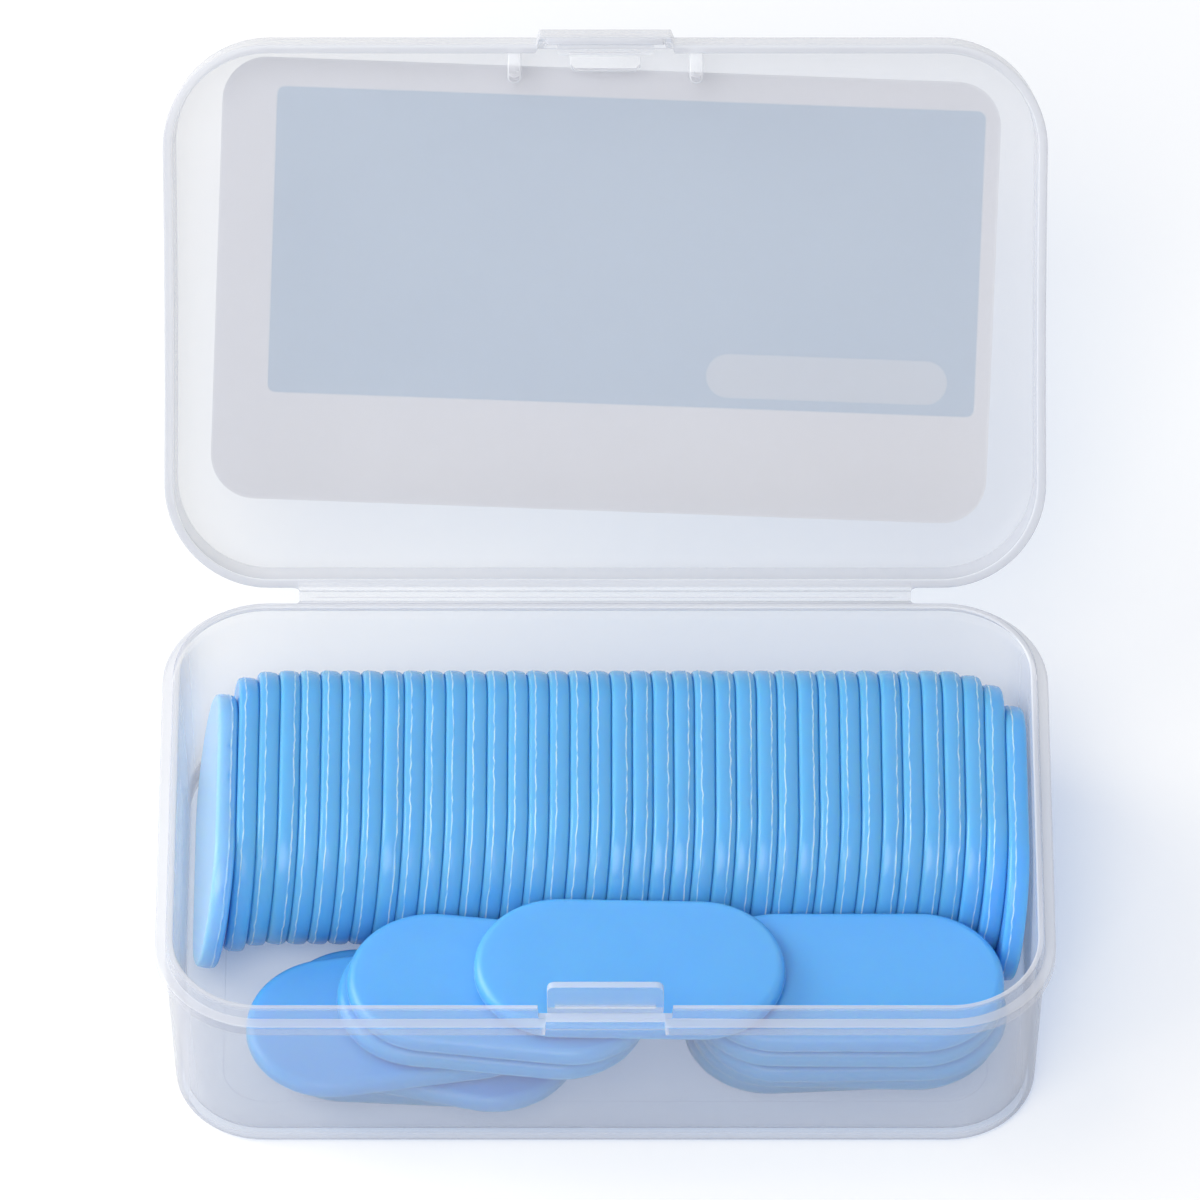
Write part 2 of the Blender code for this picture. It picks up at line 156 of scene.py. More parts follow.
# %% [markdown]
# ## Frosted polypropylene
#
# The box is injection-moulded polypropylene, a slightly milky plastic from finely blasted moulds. A clear
# glass shader would bend the light and draw dark lines round every edge, which milk in the plastic hides on
# the real box. So the shader lets light straight through, and what it doesn't let through is a soft
# grey-lavender milk. There is more milk to look through where a wall is seen at a glance, and most where
# the eye looks down into a rim along the depth of the wall. The mesh marks those rims with one attribute. A
# second one, crest, paints highlights into the milk: a white line along the crest of an edge, where light
# that has run along inside the wall comes out, paler plastic where light falls on ledges, tongue, ribs, fins
# and hinge leaf, and painted light that lifts the shade in the clasp pocket.

# %% Frosted polypropylene
PP_MILK = "#D1D3DA"
PP_CLOUD = "#CACCD5"
# The white of the painted highlights.
PP_PAINTED_HIGHLIGHT = "#FAFBFE"
PP_CLOUD_SIZE = 22.0 * MM
# A blasted grain is about 0.1 mm, too fine to show, so it is drawn coarser
PP_GRAIN = 0.6 * MM
WALL_DENSITY = 0.15
GLANCE_DENSITY = 0.60
RIM_DENSITY = 0.66


def frosted_polypropylene():
    """Milky moulded plastic with a fine blasted grain and painted highlights."""
    material, tree, surface = new_material("blasted_polypropylene")
    place = add_node(tree, "ShaderNodeTexCoord").outputs["Object"]
    cloud = add_node(tree, "ShaderNodeTexNoise", {"Vector": place, "Scale": 1 / PP_CLOUD_SIZE, "Detail": 2.0})
    milk = add_node(
        tree,
        "ShaderNodeMix",
        {"Factor": cloud.outputs["Fac"], "A": colour(PP_MILK), "B": colour(PP_CLOUD)},
        data_type="RGBA",
    )
    depth = add_node(tree, "ShaderNodeAttribute", attribute_name="depth").outputs["Fac"]
    crest = add_node(tree, "ShaderNodeAttribute", attribute_name="crest").outputs["Fac"]
    # Painted highlight: the crest attribute mixes white into the milk.
    milk_with_highlight = add_node(
        tree,
        "ShaderNodeMix",
        {"Factor": crest, "A": milk.outputs["Result"], "B": colour(PP_PAINTED_HIGHLIGHT)},
        data_type="RGBA",
    )
    glance = add_node(
        tree,
        "ShaderNodeMapRange",
        {
            "Value": add_node(tree, "ShaderNodeLayerWeight", {"Blend": 0.5}).outputs["Facing"],
            "From Min": 0.35,
            "From Max": 1.0,
            "To Min": WALL_DENSITY,
            "To Max": GLANCE_DENSITY,
        },
        interpolation_type="SMOOTHSTEP",
    )
    rim = add_node(tree, "ShaderNodeMapRange", {"Value": depth, "To Min": 0.0, "To Max": RIM_DENSITY})
    density = add_node(
        tree, "ShaderNodeMath", {0: glance.outputs["Result"], 1: rim.outputs["Result"]}, operation="MAXIMUM"
    )
    grain = add_node(tree, "ShaderNodeTexNoise", {"Vector": place, "Scale": 1 / PP_GRAIN, "Detail": 2.0})
    bump = add_node(
        tree, "ShaderNodeBump", {"Strength": 0.03, "Distance": 0.02 * MM, "Height": grain.outputs["Fac"]}
    )
    shader = add_node(
        tree,
        "ShaderNodeBsdfPrincipled",
        {
            "Base Color": milk_with_highlight.outputs["Result"],
            "Roughness": 0.22,
            "IOR": 1.49,
            "Specular IOR Level": 0.25,
            "Alpha": density.outputs["Value"],
            "Normal": bump.outputs["Normal"],
        },
    )
    tree.links.new(shader.outputs["BSDF"], surface)
    return material


def mark_plastic(shape, marks):
    """Mark each vertex with the depth of plastic behind it and the white of its painted highlight."""
    depth = shape.verts.layers.float.new("depth")
    crest = shape.verts.layers.float.new("crest")
    shape.normal_update()
    for corner in shape.verts:
        corner[depth], corner[crest] = marks(corner)


CLEAR = (0.0, 0.0)
EDGE_TURN_LEAST, EDGE_TURN_MOST, FACE_TURN = 0.3, 0.95, 0.55
plastic = frosted_polypropylene()
print("material:", plastic.name)

# %% [markdown]
# ## Blue plate wax
#
# Base wax is a dyed mix of paraffin and beeswax, cast in a mould that leaves a satin skin. Light goes a
# millimetre or so into it, which softens the shade between the plates, so the shader has some subsurface.
# The two mould halves leave a thin flash line round each edge. Where that line is trimmed the wax is
# bruised and pale, which the mesh marks with an attribute. The same attribute paints a pale sheen on the
# left face of the outer plate, standing for light from the left and a glancing reflection.

# %% Blue plate wax
WAX_BLUE = "#64B2F0"
WAX_DEEP = "#5EADEE"
# Pale wax for the trimmed flash, and for the painted sheen on the outer plate's left face.
WAX_BRUISE_AND_SHEEN = "#C6E5FB"
WAX_CLOUD = 9.0 * MM
WAX_SKIN = 0.7 * MM


def blue_plate_wax():
    """Satin dyed wax, a little cloudy, pale along the trimmed flash and with a painted sheen where marked."""
    material, tree, surface = new_material("base_plate_wax")
    place = add_node(tree, "ShaderNodeTexCoord").outputs["Object"]
    cloud = add_node(tree, "ShaderNodeTexNoise", {"Vector": place, "Scale": 1 / WAX_CLOUD, "Detail": 3.0})
    dye = add_node(
        tree,
        "ShaderNodeMix",
        {"Factor": cloud.outputs["Fac"], "A": colour(WAX_BLUE), "B": colour(WAX_DEEP)},
        data_type="RGBA",
    )
    # The flash attribute holds the trimmed flash and the painted sheen.
    flash = add_node(tree, "ShaderNodeAttribute", attribute_name="flash")
    tone = add_node(
        tree,
        "ShaderNodeMix",
        {"Factor": flash.outputs["Fac"], "A": dye.outputs["Result"], "B": colour(WAX_BRUISE_AND_SHEEN)},
        data_type="RGBA",
    )
    skin = add_node(tree, "ShaderNodeTexNoise", {"Vector": place, "Scale": 1 / WAX_SKIN, "Detail": 2.0})
    bump = add_node(
        tree, "ShaderNodeBump", {"Strength": 0.05, "Distance": 0.03 * MM, "Height": skin.outputs["Fac"]}
    )
    shader = add_node(
        tree,
        "ShaderNodeBsdfPrincipled",
        {
            "Base Color": tone.outputs["Result"],
            "Roughness": 0.25,
            "IOR": 1.44,
            "Subsurface Weight": 1.0,
            "Subsurface Radius": (1.2, 2.4, 3.6),
            "Subsurface Scale": 1.0 * MM,
            "Normal": bump.outputs["Normal"],
        },
    )
    tree.links.new(shader.outputs["BSDF"], surface)
    return material


wax = blue_plate_wax()
print("material:", wax.name)

# %% [markdown]
# ## Outline shared by tray and lid
#
# Both halves of the box are one profile carried round the same rounded rectangle. In bmesh that is a chain
# of edges pushed along the straight sides and spun through the corners. Only the right half is made; a
# mirror gives the left. The stops along a straight side are extra rings, where a feature of the edge begins
# or ends.

# %% Sweep round the box
tray_low, tray_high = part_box("tray")
HALF_LENGTH = tray_high.x
FRONT = tray_low.y
BACK = -FRONT
CORNER_RADIUS = 15.2 * MM
CORNER_X = HALF_LENGTH - CORNER_RADIUS
CORNER_Y = BACK - CORNER_RADIUS
CORNER_STEPS, SIDE_STEPS = 20, 4


def arc(inset, height, radius, start, end, steps=4):
    """Profile points on an arc; degrees, with 0 pointing into the box and 90 up."""
    turns = [math.radians(start + (end - start) * step / steps) for step in range(steps + 1)]
    return [(inset + radius * math.cos(turn), height + radius * math.sin(turn)) for turn in turns]


def pushed(shape, chain, step):
    """Extrude a chain of edges by a step and return the new chain."""
    grown = bmesh.ops.extrude_edge_only(shape, edges=chain)["geom"]
    bmesh.ops.translate(shape, verts=[g for g in grown if isinstance(g, bmesh.types.BMVert)], vec=step)
    ahead = {g for g in grown if isinstance(g, bmesh.types.BMVert)}
    return [g for g in grown if isinstance(g, bmesh.types.BMEdge) and set(g.verts) <= ahead]


def spun(shape, chain, middle, steps, angle=math.pi / 2):
    """Spin a chain of edges about an upright axis and return the new chain."""
    corners = list({v for edge in chain for v in edge.verts})
    made = bmesh.ops.spin(
        shape,
        geom=corners + chain,
        cent=(*middle, 0.0),
        axis=(0.0, 0.0, 1.0),
        dvec=(0.0, 0.0, 0.0),
        angle=angle,
        steps=steps,
        use_merge=False,
    )
    return [g for g in made["geom_last"] if isinstance(g, bmesh.types.BMEdge)]


def swept_round(profile, front_stops, back_stops):
    """Carry (inset, height) points round the box's outline, and close the two ends of the profile."""
    shape = bmesh.new()
    points = [shape.verts.new((0.0, FRONT + inset, height)) for inset, height in profile]
    chain = [shape.edges.new(pair) for pair in zip(points, points[1:])]
    reached = 0.0
    for stop in [*front_stops, CORNER_X]:
        chain = pushed(shape, chain, (stop - reached, 0.0, 0.0))
        reached = stop
    chain = spun(shape, chain, (CORNER_X, -CORNER_Y), CORNER_STEPS)
    for _ in range(SIDE_STEPS):
        chain = pushed(shape, chain, (0.0, 2 * CORNER_Y / SIDE_STEPS, 0.0))
    chain = spun(shape, chain, (CORNER_X, CORNER_Y), CORNER_STEPS)
    for stop in [*reversed(back_stops), 0.0]:
        chain = pushed(shape, chain, (stop - reached, 0.0, 0.0))
        reached = stop
    bmesh.ops.mirror(shape, geom=shape.verts[:] + shape.edges[:] + shape.faces[:], axis="X", merge_dist=TINY)
    bmesh.ops.remove_doubles(shape, verts=shape.verts, dist=TINY)
    rims = [edge for edge in shape.edges if edge.is_boundary]
    bmesh.ops.holes_fill(shape, edges=rims, sides=0)
    bmesh.ops.recalc_face_normals(shape, faces=shape.faces)
    return shape


def notch_end(x, width, radius):
    """How far a strip's rounded end has risen at x: 1 on the strip, 0 past its corner."""
    past = min(max((abs(x) - width) / radius, 0.0), 1.0)
    return 1.0 - math.sqrt(1.0 - (1.0 - past) ** 2)


print("outline:", round(2 * HALF_LENGTH, 4), "by", round(2 * BACK, 4), "m")

# %% [markdown]
# ## Finishing a piece
#
# A bmesh becomes an object at the origin, shaded smooth with sharp edges kept, and rides on a body of the
# frame. Ribs and beads that grow out of a wall are joined to it with a Boolean, so that the plastic has no
# walls inside.

# %% Finish helpers
SHARP = math.radians(40.0)
NEARBY = 0.5 * MM


def finished(name, shape, material, body, node):
    """Make a bmesh an object that stands for a node of the frame and rides on its body."""
    mesh = bpy.data.meshes.new(name)
    shape.to_mesh(mesh)
    shape.free()
    mesh.shade_smooth()
    mesh.set_sharp_from_angle(angle=SHARP)
    mesh.materials.append(material)
    piece = bpy.data.objects.new(name, mesh)
    bpy.context.scene.collection.objects.link(piece)
    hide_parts(node)
    if body:
        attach(piece, body)
    return piece


def joined(shape, *tools):
    """Union closed bmeshes into the first one."""
    objects = []
    for number, part in enumerate((shape, *tools)):
        mesh = bpy.data.meshes.new(f"join_{number}")
        part.to_mesh(mesh)
        part.free()
        objects.append(bpy.data.objects.new(f"join_{number}", mesh))
        bpy.context.scene.collection.objects.link(objects[-1])
    for tool in objects[1:]:
        boolean = objects[0].modifiers.new(tool.name, "BOOLEAN")
        boolean.operation = "UNION"
        boolean.object = tool
    evaluated = objects[0].evaluated_get(bpy.context.evaluated_depsgraph_get())
    whole = bmesh.new()
    whole.from_mesh(evaluated.to_mesh())
    for item in objects:
        bpy.data.objects.remove(item)
    bmesh.ops.remove_doubles(whole, verts=whole.verts, dist=WELD)
    return whole


def block(x_range, y_range, z_range):
    """A box between two values on each axis."""
    shape = bmesh.new()
    sides = [high - low for low, high in (x_range, y_range, z_range)]
    middle = [(high + low) / 2 for low, high in (x_range, y_range, z_range)]
    bmesh.ops.create_cube(shape, size=1.0, matrix=Matrix.Translation(middle) @ Matrix.Diagonal((*sides, 1.0)))
    return shape


def rounded(shape, edges, radius, segments=4):
    """Bevel some edges of a shape round."""
    bmesh.ops.bevel(
        shape,
        geom=edges,
        offset=radius,
        offset_type="OFFSET",
        segments=segments,
        profile=0.5,
        affect="EDGES",
        clamp_overlap=True,
        material=-1,
    )


# %% [markdown]
# ## Tray
#
# The lower half has drafted walls, a flange with a flat ledge, and a lip that the lid fits over. The lip
# stops short of the clasp, where the flange also steps back, and the flange's back edge carries one leaf of
# the hinge. All of these are moves of rings in the sweep: down for the lip, in for the flange, out for the
# leaf.

# %% Tray
LEDGE_HEIGHT = 29.2 * MM
LEDGE_WIDTH = 1.6 * MM
LIP_TOP = tray_high.z
LIP_INSIDE = 2.6 * MM
SKIRT_BOTTOM = 27.3 * MM
WALL_TOP = 1.4 * MM
WALL_FOOT = 2.35 * MM
WALL_THICKNESS = 1.1 * MM
FLOOR_THICKNESS = 1.2 * MM
FOOT_RADIUS = 1.4 * MM
FOOT_TOP = 3.6 * MM
FLOOR_FILLET = 1.5 * MM
FLOOR_STEP_INSET = 9.1 * MM
FLOOR_STEP = 0.12 * MM
EDGE_RADIUS = 0.3 * MM
LEAF_LOW = 28.4 * MM
LEAF_REACH = tray_high.y - BACK
HINGE_HALF = 44.5 * MM
NOTCH_RADIUS = 1.1 * MM
LIP_GAP_HALF = 9.45 * MM
CLASP_CUT_HALF = 8.4 * MM
CLASP_CUT_BACK = 0.95 * MM
SOFT_STEP = 0.15 * MM
LIP_LEFT, CUT_SLOPE = 0.02, 0.4
FOOT_SWELL = 0.10 * MM
# Pairs are plastic depth and painted highlight: a white line inside the lip and at the ends of the clasp
# step, and painted light on the ledge, stronger beside the clasp.
LIP_DEPTH_AND_HIGHLIGHT, LIP_EDGE, CUT_END_HIGHLIGHT = (0.8, 0.6), (0.5, 0.0), (0.8, 0.7)
LEDGE_DEPTH, LEDGE_PAINTED_LIGHT, CLASP_LEDGE_PAINTED_LIGHT = 0.9, 0.15, 0.5
FLOOR_LINE_DEPTH, FOOT_DEPTH = 0.35, 0.9
NOTCH_STOPS = [HINGE_HALF + NOTCH_RADIUS * share for share in (0.0, 0.03, 0.1, 0.2, 0.35, 0.55, 0.8, 1.0)]


def tray_marks(corner):
    """Deep plastic in lip, ledge and foot, with a painted highlight inside the lip and at the clasp step, and
    painted light on the ledge.
    """
    spot, up = corner.co, corner.normal.z
    if spot.z > LIP_TOP - 0.9 * EDGE_RADIUS and EDGE_TURN_LEAST < up < EDGE_TURN_MOST:
        inward = corner.normal.x * spot.x + corner.normal.y * spot.y < 0
        return LIP_DEPTH_AND_HIGHLIGHT if inward else LIP_EDGE
    if spot.z > SKIRT_BOTTOM:
        past_cut = abs(spot.x) - CLASP_CUT_HALF
        if spot.y < FRONT + CLASP_CUT_BACK and 0 < past_cut < 1.1 * SOFT_STEP:
            return CUT_END_HIGHLIGHT
        # Painted light on the ledge, stronger beside the clasp.
        white = CLASP_LEDGE_PAINTED_LIGHT if spot.y < 0 and past_cut < 0 else LEDGE_PAINTED_LIGHT
        return LEDGE_DEPTH * (up > FACE_TURN), white
    if up > 0.5:
        on_line = spot.z < FLOOR_THICKNESS + TINY and up < 0.99
        return FLOOR_LINE_DEPTH * on_line, 0.0
    if spot.z < FOOT_TOP - TINY and up > -0.98:
        return FOOT_DEPTH * min(1.0, 1.3 - spot.z / FOOT_TOP), 0.0
    return CLEAR


def make_tray():
    """The tray's shell, with lip gap, clasp step and hinge leaf."""
    inner_foot = WALL_FOOT + WALL_THICKNESS
    fillet = 0.2 * MM
    foot_middle = WALL_FOOT + FOOT_RADIUS
    line = FLOOR_STEP_INSET
    profile = [
        (foot_middle + FOOT_RADIUS, 0.0),
        *arc(foot_middle, FOOT_RADIUS, FOOT_RADIUS, -90, -180, 8),
        (WALL_FOOT - 0.3 * FOOT_SWELL, 0.6 * FOOT_TOP),
        (WALL_FOOT - FOOT_SWELL, FOOT_TOP),
        *arc(WALL_TOP - fillet, SKIRT_BOTTOM - fillet, fillet, 0, 90, 3),
        *arc(EDGE_RADIUS, SKIRT_BOTTOM + EDGE_RADIUS, EDGE_RADIUS, -90, -180),
        (0.0, LEAF_LOW - 0.02 * MM),
        (0.0, LEAF_LOW),
        *arc(EDGE_RADIUS, LEDGE_HEIGHT - EDGE_RADIUS, EDGE_RADIUS, 180, 90),
        *arc(LEDGE_WIDTH - fillet, LEDGE_HEIGHT + fillet, fillet, -90, 0, 3),
        *arc(LEDGE_WIDTH + EDGE_RADIUS, LIP_TOP - EDGE_RADIUS, EDGE_RADIUS, 180, 90),
        *arc(LIP_INSIDE - EDGE_RADIUS, LIP_TOP - EDGE_RADIUS, EDGE_RADIUS, 90, 0),
        (LIP_INSIDE, LEDGE_HEIGHT - EDGE_RADIUS),
        *arc(inner_foot + FLOOR_FILLET, FLOOR_THICKNESS + FLOOR_FILLET, FLOOR_FILLET, 180, 270, 8),
        (line - FLOOR_STEP, FLOOR_THICKNESS),
        (line, FLOOR_THICKNESS),
        (line + FLOOR_STEP, FLOOR_THICKNESS - FLOOR_STEP),
        (line + 2 * FLOOR_STEP, FLOOR_THICKNESS - FLOOR_STEP),
    ]
    clasp_stops = [CLASP_CUT_HALF, CLASP_CUT_HALF + SOFT_STEP, LIP_GAP_HALF, LIP_GAP_HALF + SOFT_STEP]
    shape = swept_round(profile, [0.5 * CLASP_CUT_HALF, *clasp_stops, 2 * LIP_GAP_HALF], NOTCH_STOPS)
    for corner in shape.verts:
        spot = corner.co
        at_front = spot.y < -CORNER_Y
        if at_front and abs(spot.x) < LIP_GAP_HALF + TINY and spot.z > LEDGE_HEIGHT:
            spot.z = LEDGE_HEIGHT + LIP_LEFT * (spot.z - LEDGE_HEIGHT)
        inset = spot.y - FRONT
        if at_front and abs(spot.x) < CLASP_CUT_HALF + TINY and inset < 1.1 * EDGE_RADIUS:
            spot.y += CLASP_CUT_BACK - CUT_SLOPE * inset
        if BACK - spot.y < 1.1 * EDGE_RADIUS and LEAF_LOW - TINY < spot.z <= LEDGE_HEIGHT + TINY:
            spot.y += LEAF_REACH * notch_end(spot.x, HINGE_HALF, NOTCH_RADIUS)
    mark_plastic(shape, tray_marks)
    return finished("tray_shell", shape, plastic, "tray", "tray")


tray = make_tray()
print(tray.name, len(tray.data.polygons), "faces")

# %% [markdown]
# ## Lid
#
# The lid is made shut, lying on the tray's ledge, where its shape is easy to reason about, and is then
# swung open about the hinge line to where the frame has it. The clasp pocket bulges out of its front wall,
# and its edge hangs down as a pull tab. Inside are a catch bead, a stop rib and two round-ended guide fins.

# %% Lid
HINGE = Vector(joints["lid_hinge"]["pos_m"])
LID_OPEN = math.radians(-joints["lid_hinge"]["range_deg"][0])
SWING = Matrix.Translation(HINGE) @ Matrix.Rotation(-LID_OPEN, 4, "X") @ Matrix.Translation(-HINGE)
RIM = HINGE.z + 0.15 * MM
PANEL = RIM + 12.3 * MM
LID_WALL = 1.2 * MM
ROOF = PANEL - LID_WALL
RIM_WIDTH = 1.35 * MM
RIM_RADIUS = 0.25 * MM
LID_EDGE = 1.2 * MM
LID_FILLET = 1.8 * MM
LID_DRAFT = 0.2 * MM
LID_BOW = 0.15 * MM
LEAF_THICKNESS = 0.75 * MM
POCKET_HALF = 9.8 * MM
POCKET_ROUND = 0.35 * MM
POCKET_STEPS = 5
POCKET_BULGE = 1.25 * MM
POCKET_WALL = 1.2 * MM
POCKET_TOP = PANEL - 1.8 * MM
HOLLOW_HALF = POCKET_HALF - POCKET_WALL
HOLLOW_TOP = ROOF - LID_FILLET - 0.05 * MM
TAB_DROP = 1.85 * MM
CATCH_TOP = 1.55 * MM
BEAD_HALF, BEAD_REACH, BEAD_LOW = 7.0 * MM, 1.73 * MM, 0.15 * MM
BEAD_SLOPE, BEAD_ROUND = 0.7 * MM, 0.3 * MM
RIB_HALF, RIB_NEAR, RIB_FAR, RIB_LOW = 5.15 * MM, 2.28 * MM, 4.68 * MM, 6.4 * MM
RIB_CHAMFER, RIB_ROUND = 0.7 * MM, 0.2 * MM
FIN_PLACE, FIN_HALF = 13.2 * MM, 1.0 * MM
FIN_NEAR, FIN_FAR, FIN_LOW = 0.6 * MM, 6.05 * MM, 2.5 * MM
FIN_END, FIN_ROUND = 0.95 * MM, 0.3 * MM
# Pairs are plastic depth and painted highlight: white along the rim's inner edge, on the edges and faces of
# ribs and fins and on the hinge leaf, and painted light that lifts the shade in the clasp pocket.
LID_DEPTH, RIM_PAINTED_HIGHLIGHT = 0.34, 0.3
POST_EDGE_HIGHLIGHT, POST_FACE_HIGHLIGHT = (0.75, 0.9), (0.34, 0.5)
LID_LEAF_HIGHLIGHT, POCKET_PAINTED_LIGHT = (0.3, 0.5), (0.0, 1.0)


def swell(side, half):
    """How far a bulge of some half width has risen at one side: 1 on it, 0 past it, smooth between."""
    past = min(max((side - half) / POCKET_ROUND, -1.0), 1.0)
    return 0.5 - 0.75 * past + 0.25 * past**3


def lid_shell():
    """The shut lid's shell with pocket, hinge leaf and a tab that drops in front of the tray's flange."""
    inner = LID_DRAFT + RIM_WIDTH
    step = 0.12 * MM
    profile = [
        *arc(LID_DRAFT + LID_EDGE, PANEL - LID_EDGE, LID_EDGE, 90, 180, 6),
        (LID_DRAFT, POCKET_TOP),
        (LID_DRAFT, POCKET_TOP - step),
        (0.0, RIM + LEAF_THICKNESS + step),
        (0.0, RIM + LEAF_THICKNESS),
        *arc(RIM_RADIUS, RIM + RIM_RADIUS, RIM_RADIUS, 180, 270),
        *arc(RIM_WIDTH - RIM_RADIUS, RIM + RIM_RADIUS, RIM_RADIUS, 270, 360),
        (inner, HOLLOW_TOP - step),
        (inner, HOLLOW_TOP),
        *arc(inner + LID_FILLET, ROOF - LID_FILLET, LID_FILLET, 180, 90, 8),
    ]
    shares = [number / POCKET_STEPS for number in range(-POCKET_STEPS, POCKET_STEPS + 1)]
    stops = [middle + POCKET_ROUND * share for middle in (HOLLOW_HALF, POCKET_HALF) for share in shares]
    shape = swept_round(profile, [0.5 * HOLLOW_HALF, *stops, 2 * POCKET_HALF], NOTCH_STOPS)
    for corner in shape.verts:
        spot = corner.co
        depth = spot.y - FRONT
        outer = depth < 0.5 * RIM_WIDTH
        side = abs(spot.x)
        if depth < inner + TINY:
            on_rim = spot.z < RIM + RIM_RADIUS + TINY
            if on_rim:
                spot.z -= TAB_DROP * (swell(side, POCKET_HALF) ** 2 if outer else swell(side, HOLLOW_HALF))
            if outer and spot.z < POCKET_TOP - step + TINY:
                spot.y -= POCKET_BULGE * swell(side, POCKET_HALF)
            if not outer and spot.z < HOLLOW_TOP - step + TINY:
                hollow = FRONT - POCKET_BULGE + POCKET_WALL + min(depth - RIM_WIDTH, 0.0)
                spot.y += (hollow - spot.y) * swell(side, POCKET_HALF if on_rim else HOLLOW_HALF)
        if BACK - spot.y < 1.1 * RIM_RADIUS and spot.z < RIM + LEAF_THICKNESS + TINY:
            spot.y += LEAF_REACH * notch_end(spot.x, HINGE_HALF, NOTCH_RADIUS)
    return shape


def catch_bead():
    """The bead in the pocket that snaps over the tongue's wedge; its lower side slopes."""
    pocket_inside = FRONT - POCKET_BULGE + 0.5 * POCKET_WALL
    bead = block(
        (-BEAD_HALF, BEAD_HALF), (pocket_inside, FRONT + BEAD_REACH), (RIM + BEAD_LOW, RIM + CATCH_TOP)
    )
    tip = [v for v in bead.verts if v.co.y > FRONT and v.co.z < RIM + BEAD_SLOPE]
    bmesh.ops.translate(bead, verts=tip, vec=(0.0, 0.0, BEAD_SLOPE))
    rounded(bead, bead.edges[:], BEAD_ROUND, 3)
    return bead


def roof_post(middle, half, near, far, low, end_round, end_steps, edge_round, edge_steps):
    """A post that hangs from the roof, with its free end's corners and its lower edges rounded."""
    top = ROOF + 0.5 * LID_WALL
    post = block((middle - half, middle + half), (FRONT + near, FRONT + far), (RIM + low, top))
    ends = [
        e
        for e in post.edges
        if all(v.co.y > FRONT + far - NEARBY for v in e.verts)
        and abs(e.verts[0].co.z - e.verts[1].co.z) > 2 * NEARBY
    ]
    rounded(post, ends, end_round, end_steps)
    lower = [e for e in post.edges if all(v.co.z < RIM + low + NEARBY for v in e.verts)]
    rounded(post, lower, edge_round, edge_steps)
    return post


def lid_furniture():
    """Catch bead, stop rib and guide fins, as closed shapes that grow out of the shut lid."""
    rib = roof_post(0.0, RIB_HALF, RIB_NEAR, RIB_FAR, RIB_LOW, RIB_CHAMFER, 1, RIB_ROUND, 2)
    fins = [
        roof_post(side * FIN_PLACE, FIN_HALF, FIN_NEAR, FIN_FAR, FIN_LOW, FIN_END, 6, FIN_ROUND, 3)
        for side in (-1, 1)
    ]
    return [catch_bead(), rib, *fins]


def lid_marks(corner):
    """Deep plastic in the rim and along the edges of ribs and fins, with painted highlights on ribs, fins,
    hinge leaf and rim, and painted light in the clasp pocket.
    """
    spot, down = corner.co, -corner.normal.z
    if spot.z > RIM + CATCH_TOP:
        if down < 0.2 or spot.z > ROOF - LID_FILLET:
            return LID_DEPTH, 0.0
        return POST_EDGE_HIGHLIGHT if down < EDGE_TURN_MOST else POST_FACE_HIGHLIGHT
    if spot.y > BACK + RIM_RADIUS:
        return LID_LEAF_HIGHLIGHT
    if abs(spot.x) < HOLLOW_HALF and FRONT - POCKET_BULGE + POCKET_WALL < spot.y < 0:
        return POCKET_PAINTED_LIGHT
    inward = corner.normal.x * spot.x + corner.normal.y * spot.y < 0
    on_edge = EDGE_TURN_LEAST < down < EDGE_TURN_MOST
    return float(down > FACE_TURN), RIM_PAINTED_HIGHLIGHT if inward and on_edge else 0.0


def make_lid():
    """The lid, joined with its furniture, sides drawn in a little, and swung open."""
    shape = joined(lid_shell(), *lid_furniture())
    for corner in shape.verts:
        along = max(0.0, 1.0 - (corner.co.y / CORNER_Y) ** 2)
        corner.co.x -= math.copysign(LID_BOW, corner.co.x) * along * min(abs(corner.co.x) / CORNER_X, 1.0)
    mark_plastic(shape, lid_marks)
    bmesh.ops.transform(shape, matrix=SWING, verts=shape.verts)
    return finished("lid_shell", shape, plastic, "lid", "lid")


lid = make_lid()
print(lid.name, len(lid.data.polygons), "faces, open", round(math.degrees(LID_OPEN), 1), "degrees")

# %% [markdown]
# ## Living hinge
#
# Tray and lid are one moulding, joined by a film of plastic a third of a millimetre thick that bends for
# years without breaking. It is a grid laid along a short curve from one leaf to the other and then
# thickened. It has to follow both halves, so it blends between the two bodies.

# %% Living hinge
FILM_THICKNESS = 0.35 * MM
FILM_OVERLAP = 0.25 * MM
FILM_SEAT = 0.45 * MM
FILM_DIP = Vector((0.0, 0.1 * MM, -0.35 * MM))
FILM_DEPTH = 0.25
# The groove has no shape of its own: denser milk along the film's middle paints its shade as a dark line.
GROOVE_SHARE, GROOVE_HALF, GROOVE_SHADE_DEPTH = 0.94, 0.03, 0.7


